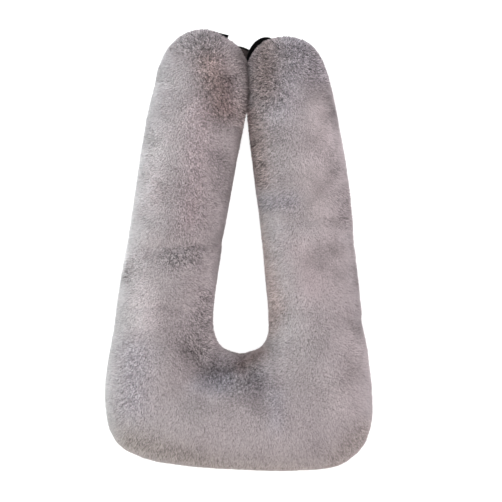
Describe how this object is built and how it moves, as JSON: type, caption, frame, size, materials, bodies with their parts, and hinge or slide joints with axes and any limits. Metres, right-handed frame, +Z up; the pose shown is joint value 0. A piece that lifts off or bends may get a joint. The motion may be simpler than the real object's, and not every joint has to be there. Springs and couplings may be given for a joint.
{
  "type": "u-shaped plush travel pillow",
  "caption": "Stuffed plush travel pillow bent into a long U that wraps the neck, its legs meeting at the tips over short webbing straps.",
  "frame": {"origin": "centre of the underside of the bounding box, on the surface that the pillow lies on", "axes": "+Y from the bend towards the tips of the legs, +Z up out of the pillow's face, +X to the right"},
  "size_m": [0.3614, 0.5995, 0.112],
  "materials": {
    "plush": "short dense pile, pinkish grey, soft sheen",
    "webbing_black": "ribbed woven webbing, satin",
    "webbing_dark": "ribbed woven webbing, dull"
  },
  "bodies": {
    "root": {"pillow": "plush", "strap_right": "webbing_black", "strap_left": "webbing_dark", "strap_tail": "webbing_black"}
  },
  "joints": []
}
